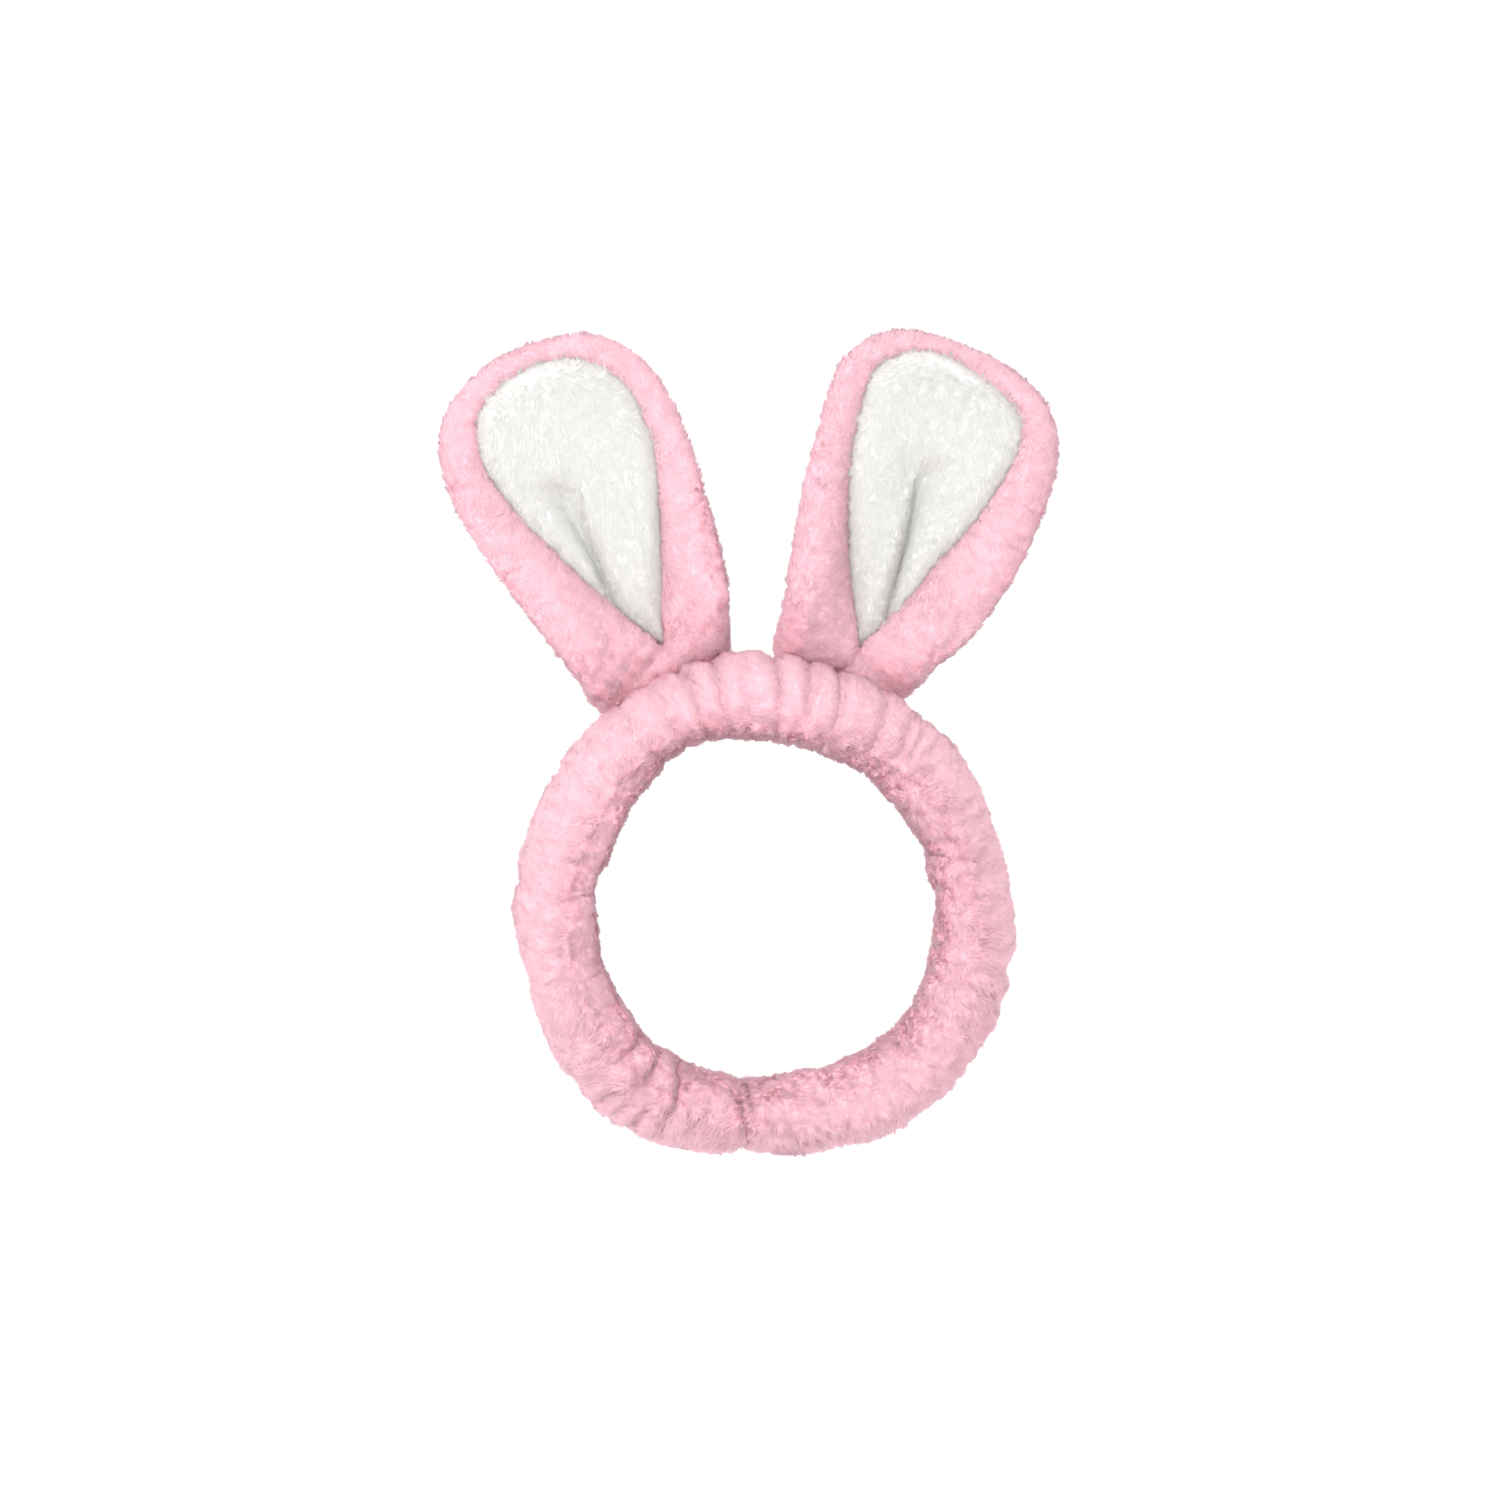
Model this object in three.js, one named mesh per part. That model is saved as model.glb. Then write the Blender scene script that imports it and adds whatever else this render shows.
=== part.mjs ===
// Animal ears headband: a gathered plush sleeve over a loop of elastic, with two plush rabbit
// ears sewn to its crown. Millimetres, +Z up. The ring lies in the XZ plane with its centre at
// the origin and its axis along Y. The fronts of the ears face -Y.
import * as THREE from 'three';

// Band: a soft tube of fleece bent into a ring
const BAND_INNER_RADIUS = 59;
const BAND_OUTER_RADIUS = 88;
const BAND_WIDTH = 44;
const FLEECE = 3.5;              // backing cloth and pile together
const PARTING_ANGLE = 0.15;      // degrees kept clear at each end of a half of the band

// Places round the ring, in degrees from +X towards +Z
const RIGHT_SIDE = 0;
const TOP = 90;
const LEFT_SIDE = 180;
const BOTTOM = 270;
const FULL_TURN = 360;

// Elastic loop inside the sleeve, with its two ends lapped at the bottom
const ELASTIC_RADIUS = 67.5;
const ELASTIC_WIDTH = 20;
const ELASTIC_THICKNESS = 1.2;
const ELASTIC_RUN_ANGLE = 20;    // each free side run reaches this far above and below centre
const ELASTIC_GAP_ANGLE = 0.3;
const LAP_HALF_ANGLE = 8;
const LAP_RISE = 1.7;            // from the middle of one layer of elastic to the next
const LAP_STITCH_RISE = 3.2;
const LAP_STITCH_LENGTH = 13;
const LAP_STITCH_WIDTH = 15;
const THREAD = 0.6;              // thickness of a laid thread

// Seams of the sleeve: one runs round the front edge, one closes the tube at the bottom
const LONG_SEAM_RADIUS = 71;
const LONG_SEAM_DEPTH = 12.6;    // middle of the seam allowance, in front of the ring's plane
const ALLOWANCE_WIDTH = 4;
const ALLOWANCE_THICKNESS = 1.6;
const LONG_THREAD_RADIUS = 72.6;
const END_SEAM_CLEARANCE = 0.4;
const END_SEAM_WIDTH = 1.8;
const END_SEAM_THICKNESS = 2;

// Ears: flat-sewn plush pillows, cupped forward
const EAR_LENGTH = 126;
const EAR_BASE_HALF_WIDTH = 27;
const EAR_HALF_WIDTH = 43;
const EAR_WIDEST_AT = 85;
const EAR_STRAIGHT_FLARE = 0.6;  // share of the widening that is straight; the rest is curved
const EAR_CORNER_HEIGHT = 6;
const EAR_CENTRE_HEIGHT = 72;
const EAR_LIFT = 2;              // from the band's surface up to the bottom edge of the ear
const EAR_SETBACK = 9;           // the ears stand a little behind the middle of the band
const SADDLE_FADE = 40;          // height over which the base curve straightens out
const CURL = 13;                 // how far the ear's edges come forward low down
const CURL_START = 25;
const CURL_EASE = 0.5;           // share of the curl lost by the tip
const RIM_GAP = 0.9;             // half of the space between the front and back layers
const LOFT = 2.2;                // half thickness of the wadding
const WADDING_SHARE = 0.86;
const WADDING_BOTTOM = 12;
const PANEL_THICKNESS = 3.4;
const PANEL_RIM_THICKNESS = 1.8;
const PILLOW_POWER = 3;
const PILLOW_BOTTOM = 14;

// White inner panel, let into the front of the ear
const INNER_BOTTOM = 14;
const INNER_TOP = 115;
const INNER_WIDEST_AT = 92;
const INNER_HALF_WIDTH = 28;
const INNER_TAPER = 1.5;
const SEAM_SLOT = 0.75;          // from the seam line to the cloth on each side of it
const RIM_SEAM_SHARE = 0.93;

// Stitches that hold an ear to the band, and the tack that holds its folded base
const ANCHOR_LIFT = 0.75;
const ANCHOR_HALF_ANGLE = 15;
const ANCHOR_ZIGZAGS = 14;
const ANCHOR_HALF_WIDTH = 2;
const ANCHOR_THREAD_RADIUS = 0.3;
const TACK_HEIGHT = 11;
const TACK_LENGTH = 8;
const TACK_RADIUS = 0.5;
const TACK_CLEARANCE = 1.3;

// How finely the pieces are drawn
const BAND_STEPS = 24;
const SIDE_RUN_STEPS = 8;
const LAP_STEPS = 6;
const END_SEAM_STEPS = 1;
const SECTION_SEGMENTS = 8;      // on each curve of a swept section
const EAR_TURN_STEPS = 40;
const BACK_PANEL_STEPS = 10;
const FRONT_PANEL_STEPS = 8;
const WADDING_TURN_STEPS = 28;
const WADDING_STEPS = 8;
const SEAM_STEPS = 4;
const ANCHOR_STEPS_PER_STITCH = 3;
const ANCHOR_THREAD_SEGMENTS = 3;
const TACK_CAP_SEGMENTS = 2;
const TACK_SIDES = 6;
const TORUS_TUBE = 0.5;          // a border starts as a torus of radius 1 with a tube this thick
const ON_RIM = 1e-6;             // nearer than this to the middle plane counts as on the rim

// The two ears are cut alike but stand at slightly different angles from the vertical
const EARS = [
  { side: 'left', lean: -23.4, length: 126 },
  { side: 'right', lean: 20.4, length: 121 },
];

const BAND_MID_RADIUS = (BAND_INNER_RADIUS + BAND_OUTER_RADIUS) / 2;
const BAND_HALF_THICKNESS = (BAND_OUTER_RADIUS - BAND_INNER_RADIUS) / 2;
const { lerp, smoothstep, degToRad } = THREE.MathUtils;

const materials = {
  pinkFleece: new THREE.MeshStandardMaterial({ color: 0xfabccc, roughness: 0.95, metalness: 0 }),
  whiteFleece: new THREE.MeshStandardMaterial({ color: 0xf4f3ef, roughness: 0.95, metalness: 0 }),
  wadding: new THREE.MeshStandardMaterial({ color: 0xfbfbf8, roughness: 1, metalness: 0 }),
  elastic: new THREE.MeshStandardMaterial({ color: 0xf2f0ec, roughness: 0.8, metalness: 0 }),
  pinkThread: new THREE.MeshStandardMaterial({ color: 0xefa5b9, roughness: 0.6, metalness: 0 }),
  whiteThread: new THREE.MeshStandardMaterial({ color: 0xefeeea, roughness: 0.6, metalness: 0 }),
};

const headband = new THREE.Group();

function addPiece(name, geometry, material, parent = headband) {
  const mesh = new THREE.Mesh(geometry, material);
  mesh.name = name;
  parent.add(mesh);
  return mesh;
}

function ringPoint(radius, degrees, y = 0) {
  const angle = degToRad(degrees);
  return new THREE.Vector3(radius * Math.cos(angle), y, radius * Math.sin(angle));
}

class RingArc extends THREE.Curve {
  constructor(radius, from, to) {
    super();
    this.radius = radius;
    this.from = from;
    this.to = to;
  }

  getPoint(share) {
    return ringPoint(this.radius, lerp(this.from, this.to, share));
  }
}

// Distance from the ring's centre to the band's outer surface, this far behind its middle
function crestRadius(y) {
  const share = y / (BAND_WIDTH / 2);
  return BAND_MID_RADIUS + BAND_HALF_THICKNESS * Math.sqrt(1 - share ** 2);
}

// In a section, x runs forward along the ring's axis and y runs out from its centre
function sweep(section, radius, from, to, steps) {
  return new THREE.ExtrudeGeometry(section, {
    extrudePath: new RingArc(radius, from, to),
    steps,
    curveSegments: SECTION_SEGMENTS,
  });
}

function rectangle(width, height, x = 0, y = 0) {
  const shape = new THREE.Shape();
  shape.moveTo(x - width / 2, y - height / 2);
  shape.lineTo(x + width / 2, y - height / 2);
  shape.lineTo(x + width / 2, y + height / 2);
  shape.lineTo(x - width / 2, y + height / 2);
  shape.closePath();
  return shape;
}

function ellipseRing(outerX, outerY, wall) {
  const shape = new THREE.Shape();
  shape.absellipse(0, 0, outerX, outerY, 0, Math.PI * 2);
  const hollow = new THREE.Path();
  hollow.absellipse(0, 0, outerX - wall, outerY - wall, 0, Math.PI * 2);
  shape.holes.push(hollow);
  return shape;
}

// ---- Band ----

function makeBandHalf(half, from, to) {
  const sleeve = ellipseRing(BAND_WIDTH / 2, BAND_HALF_THICKNESS, FLEECE);
  const start = from + PARTING_ANGLE;
  const end = to - PARTING_ANGLE;
  addPiece(`band_cover_${half}`, sweep(sleeve, BAND_MID_RADIUS, start, end, BAND_STEPS),
    materials.pinkFleece);

  const allowance = rectangle(ALLOWANCE_WIDTH, ALLOWANCE_THICKNESS, LONG_SEAM_DEPTH);
  addPiece(`long_seam_allowance_${half}`, sweep(allowance, LONG_SEAM_RADIUS, start, end, BAND_STEPS),
    materials.pinkFleece);

  const thread = rectangle(THREAD, THREAD, LONG_SEAM_DEPTH);
  addPiece(`long_seam_stitching_${half}`, sweep(thread, LONG_THREAD_RADIUS, start, end, BAND_STEPS),
    materials.pinkThread);

  const strap = rectangle(ELASTIC_WIDTH, ELASTIC_THICKNESS);
  const strapStart = from + ELASTIC_RUN_ANGLE + ELASTIC_GAP_ANGLE;
  const strapEnd = to - ELASTIC_RUN_ANGLE - ELASTIC_GAP_ANGLE;
  addPiece(`elastic_${half}`, sweep(strap, ELASTIC_RADIUS, strapStart, strapEnd, BAND_STEPS),
    materials.elastic);
}

function makeElasticSideRun(side, middle) {
  const strap = rectangle(ELASTIC_WIDTH, ELASTIC_THICKNESS);
  const from = middle - ELASTIC_RUN_ANGLE;
  const to = middle + ELASTIC_RUN_ANGLE;
  addPiece(`elastic_${side}_run`, sweep(strap, ELASTIC_RADIUS, from, to, SIDE_RUN_STEPS),
    materials.elastic);
}

// The second end of the elastic lies on the first and is held by a box stitch with a cross
function makeElasticJoin(bottom) {
  const strap = rectangle(ELASTIC_WIDTH, ELASTIC_THICKNESS);
  const from = bottom - LAP_HALF_ANGLE;
  const to = bottom + LAP_HALF_ANGLE;
  addPiece('elastic_lapped_end', sweep(strap, ELASTIC_RADIUS + LAP_RISE, from, to, LAP_STEPS),
    materials.elastic);

  const stitch = rectangle(LAP_STITCH_LENGTH, LAP_STITCH_WIDTH);
  const reachX = LAP_STITCH_LENGTH / 2 - THREAD;
  const reachY = LAP_STITCH_WIDTH / 2 - THREAD;
  for (const sign of [-1, 1]) {
    const beside = new THREE.Path();
    beside.moveTo(sign * reachX, -reachY + THREAD);
    beside.lineTo(sign * reachX, reachY - THREAD);
    beside.lineTo(sign * THREAD, 0);
    beside.closePath();
    const across = new THREE.Path();
    across.moveTo(-reachX + THREAD, sign * reachY);
    across.lineTo(reachX - THREAD, sign * reachY);
    across.lineTo(0, sign * THREAD);
    across.closePath();
    stitch.holes.push(beside, across);
  }
  const geometry = new THREE.ExtrudeGeometry(stitch, { depth: THREAD, bevelEnabled: false });
  const mesh = addPiece('elastic_box_stitch', geometry, materials.whiteThread);
  mesh.position.copy(ringPoint(ELASTIC_RADIUS + LAP_STITCH_RISE, bottom));
}

// A collar of turned-in cloth inside the sleeve where the two ends of the tube are sewn together
function makeEndSeam(bottom) {
  const hollowX = BAND_WIDTH / 2 - FLEECE - END_SEAM_CLEARANCE;
  const hollowY = BAND_HALF_THICKNESS - FLEECE - END_SEAM_CLEARANCE;
  const collar = ellipseRing(hollowX, hollowY, END_SEAM_WIDTH);
  const half = (END_SEAM_THICKNESS / 2 / BAND_MID_RADIUS) * THREE.MathUtils.RAD2DEG;
  addPiece('end_seam_allowance',
    sweep(collar, BAND_MID_RADIUS, bottom - half, bottom + half, END_SEAM_STEPS),
    materials.pinkFleece);
}

// ---- Ears ----
// An ear is made flat: u runs across it and v up it from the band, and depth is added after

function earHalfWidthFree(v) {
  if (v >= EAR_WIDEST_AT) return EAR_HALF_WIDTH;
  const share = v / EAR_WIDEST_AT;
  const flare = lerp(Math.sin(share * Math.PI / 2), share, EAR_STRAIGHT_FLARE);
  return lerp(EAR_BASE_HALF_WIDTH, EAR_HALF_WIDTH, flare);
}

function endRounding(distance, reach) {
  if (distance >= reach) return 1;
  const share = Math.max(distance, 0) / reach;
  return Math.sqrt(share * (2 - share));
}

function earHalfWidth(v) {
  const tip = endRounding(EAR_LENGTH - v, EAR_LENGTH - EAR_WIDEST_AT);
  return earHalfWidthFree(v) * tip * endRounding(v, EAR_CORNER_HEIGHT);
}

function innerHalfWidth(v) {
  if (v >= INNER_WIDEST_AT) {
    return INNER_HALF_WIDTH * endRounding(INNER_TOP - v, INNER_TOP - INNER_WIDEST_AT);
  }
  const below = (INNER_WIDEST_AT - v) / (INNER_WIDEST_AT - INNER_BOTTOM);
  return INNER_HALF_WIDTH * (1 - Math.min(below, 1) ** INNER_TAPER);
}

// A closed outline is asked for by its turn, from the bottom (0) through +u to the tip (PI)
function outlinePoint(turn, bottom, top, halfWidth, growth = 0) {
  const v = lerp(bottom, top, (1 - Math.cos(turn)) / 2);
  const u = Math.sign(Math.sin(turn)) * halfWidth(v);
  const middle = (bottom + top) / 2;
  const stretch = 1 + growth / ((top - bottom) / 2);
  return { u: u + Math.sin(turn) * growth, v: middle + (v - middle) * stretch };
}

const earOutline = (turn) => outlinePoint(turn, 0, EAR_LENGTH, earHalfWidth);
const innerOutline = (growth) => (turn) => (
  outlinePoint(turn, INNER_BOTTOM, INNER_TOP, innerHalfWidth, growth));

function shrunkOutline(share, lift = 0) {
  return (turn) => {
    const { u, v } = earOutline(turn);
    return { u: u * share, v: Math.max(EAR_CENTRE_HEIGHT + (v - EAR_CENTRE_HEIGHT) * share, lift) };
  };
}

// Fullness is 1 in the middle of the ear and 0 at its edge
function fullness(u, v) {
  const tip = Math.max(v - EAR_WIDEST_AT, 0) / (EAR_LENGTH - EAR_WIDEST_AT);
  const edge = Math.min(Math.hypot(u / earHalfWidthFree(v), tip), 1);
  const bottom = Math.sqrt(Math.min(Math.max(v, 0) / PILLOW_BOTTOM, 1));
  return Math.sqrt(1 - edge ** PILLOW_POWER) * bottom;
}

// The middle surface of the ear: flat at the base, then cupped forward, easing towards the tip
function cup(u, v) {
  const ease = 1 - CURL_EASE * smoothstep(v, CURL_START, EAR_LENGTH);
  const curl = CURL * smoothstep(v, 0, CURL_START) * ease;
  return -curl * (u / earHalfWidthFree(v)) ** 2;
}

const layerGap = (u, v) => RIM_GAP + LOFT * fullness(u, v);
const panelThickness = (u, v) => lerp(PANEL_RIM_THICKNESS, PANEL_THICKNESS, fullness(u, v));

const surfaces = {
  outerFront: (u, v) => cup(u, v) - layerGap(u, v) - panelThickness(u, v),
  innerFront: (u, v) => cup(u, v) - layerGap(u, v),
  waddingFront: (u, v) => cup(u, v) - LOFT * fullness(u, v) * WADDING_SHARE,
  waddingBack: (u, v) => cup(u, v) + LOFT * fullness(u, v) * WADDING_SHARE,
  innerBack: (u, v) => cup(u, v) + layerGap(u, v),
  outerBack: (u, v) => cup(u, v) + layerGap(u, v) + panelThickness(u, v),
};

// The bottom of the ear saddles over the round band
function saddle(u, v) {
  const drop = BAND_OUTER_RADIUS - Math.sqrt(BAND_OUTER_RADIUS ** 2 - u ** 2);
  return EAR_LIFT - drop * Math.max(1 - v / SADDLE_FADE, 0);
}

// One closed layer between a front and a back surface: a disc inside the outer outline, or a
// border between the hole outline and the outer outline
function quiltLayer({ outer, hole, front, back, around, across }) {
  const geometry = hole
    ? new THREE.TorusGeometry(1, TORUS_TUBE, across, around).rotateX(Math.PI / 2)
    : new THREE.SphereGeometry(1, around, across);
  const position = geometry.getAttribute('position');
  for (let index = 0; index < position.count; index += 1) {
    const x = position.getX(index);
    const y = position.getY(index);
    const z = position.getZ(index);
    const turn = Math.atan2(x, -z);
    const reach = Math.hypot(x, z);
    const share = hole ? reach - TORUS_TUBE : reach;
    const start = hole ? hole(turn) : { u: 0, v: EAR_CENTRE_HEIGHT };
    const end = outer(turn);
    const u = lerp(start.u, end.u, share);
    const v = lerp(start.v, end.v, share);
    const side = Math.abs(y) < ON_RIM ? 0.5 : Number(y > 0);
    position.setXYZ(index, u, lerp(front(u, v), back(u, v), side), v + saddle(u, v));
  }
  return geometry;
}

// A thread laid along an outline, at the depth given
function threadLoop(outlineAt, depth) {
  return quiltLayer({
    hole: outlineAt(-THREAD / 2),
    outer: outlineAt(THREAD / 2),
    front: (u, v) => depth(u, v) - THREAD / 2,
    back: (u, v) => depth(u, v) + THREAD / 2,
    around: EAR_TURN_STEPS,
    across: SEAM_STEPS,
  });
}

function makeEarAnchor(side, lean) {
  const middle = TOP - lean;
  const points = [];
  for (let index = 0; index <= ANCHOR_ZIGZAGS; index += 1) {
    const offset = lerp(-ANCHOR_HALF_ANGLE, ANCHOR_HALF_ANGLE, index / ANCHOR_ZIGZAGS);
    const y = EAR_SETBACK + (index % 2 ? ANCHOR_HALF_WIDTH : -ANCHOR_HALF_WIDTH);
    points.push(ringPoint(crestRadius(y) + ANCHOR_LIFT, middle + offset, y));
  }
  const section = new THREE.Shape();
  section.absarc(0, 0, ANCHOR_THREAD_RADIUS, 0, Math.PI * 2);
  const geometry = new THREE.ExtrudeGeometry(section, {
    extrudePath: new THREE.CatmullRomCurve3(points),
    steps: ANCHOR_ZIGZAGS * ANCHOR_STEPS_PER_STITCH,
    curveSegments: ANCHOR_THREAD_SEGMENTS,
  });
  addPiece(`${side}_ear_anchor_stitching`, geometry, materials.pinkThread);
}

function makeEar({ side, lean, length }) {
  const ear = new THREE.Group();
  ear.position.copy(ringPoint(crestRadius(EAR_SETBACK), TOP - lean, EAR_SETBACK));
  ear.rotation.y = degToRad(lean);
  ear.scale.z = length / EAR_LENGTH;
  headband.add(ear);

  addPiece(`${side}_ear_back_panel`, quiltLayer({
    outer: earOutline,
    front: surfaces.innerBack,
    back: surfaces.outerBack,
    around: EAR_TURN_STEPS,
    across: BACK_PANEL_STEPS,
  }), materials.pinkFleece, ear);

  addPiece(`${side}_ear_wadding`, quiltLayer({
    outer: shrunkOutline(WADDING_SHARE, WADDING_BOTTOM),
    front: surfaces.waddingFront,
    back: surfaces.waddingBack,
    around: WADDING_TURN_STEPS,
    across: WADDING_STEPS,
  }), materials.wadding, ear);

  addPiece(`${side}_ear_front_border`, quiltLayer({
    hole: innerOutline(SEAM_SLOT),
    outer: earOutline,
    front: surfaces.outerFront,
    back: surfaces.innerFront,
    around: EAR_TURN_STEPS,
    across: FRONT_PANEL_STEPS,
  }), materials.pinkFleece, ear);

  addPiece(`${side}_ear_inner_panel`, quiltLayer({
    outer: innerOutline(-SEAM_SLOT),
    front: surfaces.outerFront,
    back: surfaces.innerFront,
    around: EAR_TURN_STEPS,
    across: FRONT_PANEL_STEPS,
  }), materials.whiteFleece, ear);

  const seamDepth = (u, v) => (surfaces.outerFront(u, v) + surfaces.innerFront(u, v)) / 2;
  addPiece(`${side}_ear_inner_seam`, threadLoop(innerOutline, seamDepth), materials.whiteThread, ear);

  const rimOutline = (growth) => shrunkOutline(RIM_SEAM_SHARE + growth / EAR_HALF_WIDTH);
  addPiece(`${side}_ear_rim_seam`, threadLoop(rimOutline, cup), materials.pinkThread, ear);

  const tack = addPiece(`${side}_ear_fold_tack`,
    new THREE.CapsuleGeometry(TACK_RADIUS, TACK_LENGTH, TACK_CAP_SEGMENTS, TACK_SIDES),
    materials.pinkThread, ear);
  tack.rotation.z = Math.PI / 2;
  tack.position.set(0, surfaces.outerFront(0, TACK_HEIGHT) - TACK_CLEARANCE, TACK_HEIGHT);

  makeEarAnchor(side, lean);
}

makeBandHalf('upper', RIGHT_SIDE, LEFT_SIDE);
makeBandHalf('lower', LEFT_SIDE, FULL_TURN);
makeElasticSideRun('left', LEFT_SIDE);
makeElasticSideRun('right', RIGHT_SIDE);
makeElasticJoin(BOTTOM);
makeEndSeam(BOTTOM);
EARS.forEach(makeEar);

export default headband;
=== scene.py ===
"""A pink plush headband with rabbit ears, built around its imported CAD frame."""

import math

import bpy
import numpy as np
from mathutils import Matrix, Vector


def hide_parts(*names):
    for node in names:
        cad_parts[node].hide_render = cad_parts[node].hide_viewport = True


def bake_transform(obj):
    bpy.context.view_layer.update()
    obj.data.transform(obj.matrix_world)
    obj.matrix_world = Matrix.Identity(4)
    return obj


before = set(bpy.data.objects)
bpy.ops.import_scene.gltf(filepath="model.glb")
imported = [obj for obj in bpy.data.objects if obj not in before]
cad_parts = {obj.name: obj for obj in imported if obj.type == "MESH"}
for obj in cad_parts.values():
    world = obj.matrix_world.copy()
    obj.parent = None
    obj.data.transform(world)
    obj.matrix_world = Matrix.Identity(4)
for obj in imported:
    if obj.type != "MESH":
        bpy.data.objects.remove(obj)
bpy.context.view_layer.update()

MM = 0.001
TAU = 2 * math.pi

# ---- Camera: made first, at the photograph's viewing angle ----
VIEW_AZIMUTH = -10.0
VIEW_ELEVATION = 8.0
LENS = 100.0
SENSOR = 36.0
FIELD = 525.0            # millimetres across the frame at the ring's plane
AIM_RIGHT = -4.5         # where the frame's centre is, from the ring's centre
AIM_UP = 55.3


def make_camera():
    azimuth, elevation = math.radians(VIEW_AZIMUTH), math.radians(VIEW_ELEVATION)
    back = Vector((
        math.sin(azimuth) * math.cos(elevation),
        -math.cos(azimuth) * math.cos(elevation),
        math.sin(elevation),
    ))
    turn = (-back).to_track_quat("-Z", "Y")
    right, up = turn @ Vector((1, 0, 0)), turn @ Vector((0, 1, 0))
    aim = (right * AIM_RIGHT + up * AIM_UP) * MM
    data = bpy.data.cameras.new("camera")
    data.lens = LENS
    data.sensor_width = SENSOR
    data.clip_start, data.clip_end = 0.05, 50
    camera = bpy.data.objects.new("camera", data)
    bpy.context.scene.collection.objects.link(camera)
    camera.rotation_mode = "QUATERNION"
    camera.rotation_quaternion = turn
    camera.location = aim + back * (FIELD * MM * LENS / SENSOR)
    bpy.context.scene.camera = camera


make_camera()


# ---- Studio ----
WORLD_LIGHT = 1.22
KEY_WATTS = 16


def area_light(name, place, aim, size, watts, colour=(1, 1, 1)):
    data = bpy.data.lights.new(name, "AREA")
    data.shape = "DISK"
    data.size = size
    data.energy = watts
    data.color = colour
    light = bpy.data.objects.new(name, data)
    bpy.context.scene.collection.objects.link(light)
    light.location = place
    light.rotation_mode = "QUATERNION"
    light.rotation_quaternion = (Vector(aim) - Vector(place)).to_track_quat("-Z", "Y")


def make_studio():
    scene = bpy.context.scene
    scene.view_settings.view_transform = "Standard"
    scene.cycles.diffuse_bounces = 8
    world = bpy.data.worlds.new("studio")
    scene.world = world
    world.use_nodes = True
    background = world.node_tree.nodes["Background"]
    background.inputs["Color"].default_value = (1, 1, 1, 1)
    background.inputs["Strength"].default_value = WORLD_LIGHT

    area_light("key", (-0.8, -1.5, 1.0), (0, 0, 0.05), 1.4, KEY_WATTS)

    floor_mesh = bpy.data.meshes.new("floor")
    half = 6.0
    floor_z = -0.24
    floor_mesh.from_pydata(
        [(-half, -half, floor_z), (half, -half, floor_z), (half, half, floor_z), (-half, half, floor_z)],
        [], [(0, 1, 2, 3)])
    floor = bpy.data.objects.new("floor", floor_mesh)
    scene.collection.objects.link(floor)
    floor_mesh.materials.append(speckled_material("pale_floor", (0.95, 0.95, 0.95), (0.93, 0.93, 0.93), 30))


# ---- Materials ----
FIBRE_MAP = "OFBake"     # across: which shade a fibre is; along: from its root to its tip


def soft_shader(material):
    principled = material.node_tree.nodes["Principled BSDF"]
    principled.inputs["Roughness"].default_value = 0.9
    principled.inputs["Specular IOR Level"].default_value = 0.1
    return principled


def ramp(nodes, stops):
    """A colour ramp node from (place, colour) stops."""
    node = nodes.new("ShaderNodeValToRGB")
    elements = node.color_ramp.elements
    while len(elements) < len(stops):
        elements.new(0.5)
    for element, (place, colour) in zip(elements, stops):
        element.position = place
        element.color = (*colour, 1)
    return node


def pile_material(name, root, middle, tip, dull, bright):
    """Fibres go from root to tip colour, darker at the root as painted shade deep in the pile and lighter at
    the tip; each fibre is a little duller or brighter.
    """
    material = bpy.data.materials.new(name)
    material.use_nodes = True
    nodes, links = material.node_tree.nodes, material.node_tree.links
    principled = soft_shader(material)
    fibre_map = nodes.new("ShaderNodeUVMap")
    fibre_map.uv_map = FIBRE_MAP
    split = nodes.new("ShaderNodeSeparateXYZ")
    # the ramp along each fibre is painted shade: darker down at the root, lighter at the tip
    along = ramp(nodes, [(0.0, root), (0.45, middle), (1.0, tip)])
    which = ramp(nodes, [(0.0, dull), (1.0, bright)])
    mix = nodes.new("ShaderNodeMix")
    mix.data_type = "RGBA"
    mix.blend_type = "MULTIPLY"
    mix.inputs["Factor"].default_value = 1.0
    links.new(fibre_map.outputs["UV"], split.inputs["Vector"])
    links.new(split.outputs["X"], which.inputs["Fac"])
    links.new(split.outputs["Y"], along.inputs["Fac"])
    links.new(along.outputs["Color"], mix.inputs["A"])
    links.new(which.outputs["Color"], mix.inputs["B"])
    links.new(mix.outputs["Result"], principled.inputs["Base Color"])
    return material


def speckled_material(name, light, dark, grain=420):
    """A matt surface, such as a knitted backing, with fine lighter and darker grain."""
    material = bpy.data.materials.new(name)
    material.use_nodes = True
    nodes, links = material.node_tree.nodes, material.node_tree.links
    principled = soft_shader(material)
    place = nodes.new("ShaderNodeTexCoord")
    noise = nodes.new("ShaderNodeTexNoise")
    noise.inputs["Scale"].default_value = grain
    noise.inputs["Detail"].default_value = 3
    shade = ramp(nodes, [(0.35, dark), (0.65, light)])
    links.new(place.outputs["Object"], noise.inputs["Vector"])
    links.new(noise.outputs["Fac"], shade.inputs["Fac"])
    links.new(shade.outputs["Color"], principled.inputs["Base Color"])
    return material


# both piles are painted a little darker at the root than at the tip: painted shade deep in the pile
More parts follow.
